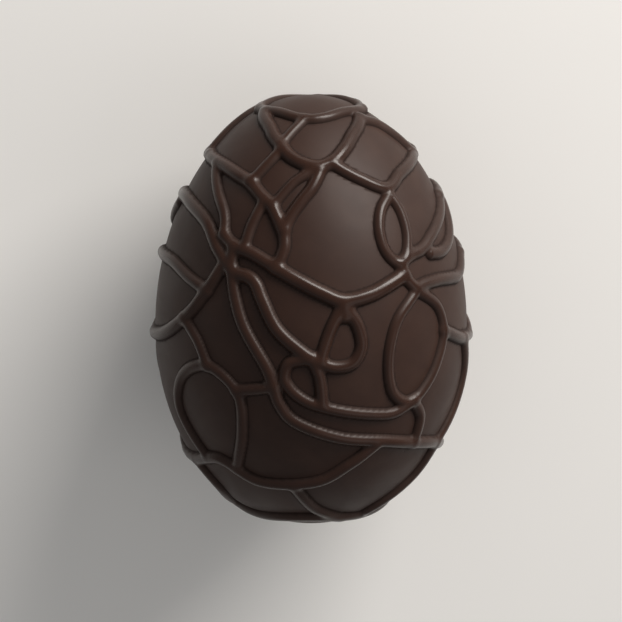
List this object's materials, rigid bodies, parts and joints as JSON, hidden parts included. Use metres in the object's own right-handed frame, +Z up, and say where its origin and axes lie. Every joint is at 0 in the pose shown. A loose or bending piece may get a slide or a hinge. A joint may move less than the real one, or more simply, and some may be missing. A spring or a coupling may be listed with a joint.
{
  "type": "chocolate egg",
  "caption": "Moulded dark chocolate egg with raised rope-like strokes that loop and join all over it, lying on its side on a small flat spot.",
  "frame": {"origin": "bottom centre of the egg's bounding box, on the flat spot that it rests on", "axes": "+Y along the egg's long axis towards its narrower end, +Z up out of the side that is shown, +X to the right of that side"},
  "size_m": [0.064, 0.086, 0.0625],
  "materials": {
    "dark_chocolate": "satin"
  },
  "bodies": {
    "root": {"egg": "dark_chocolate"}
  },
  "joints": []
}
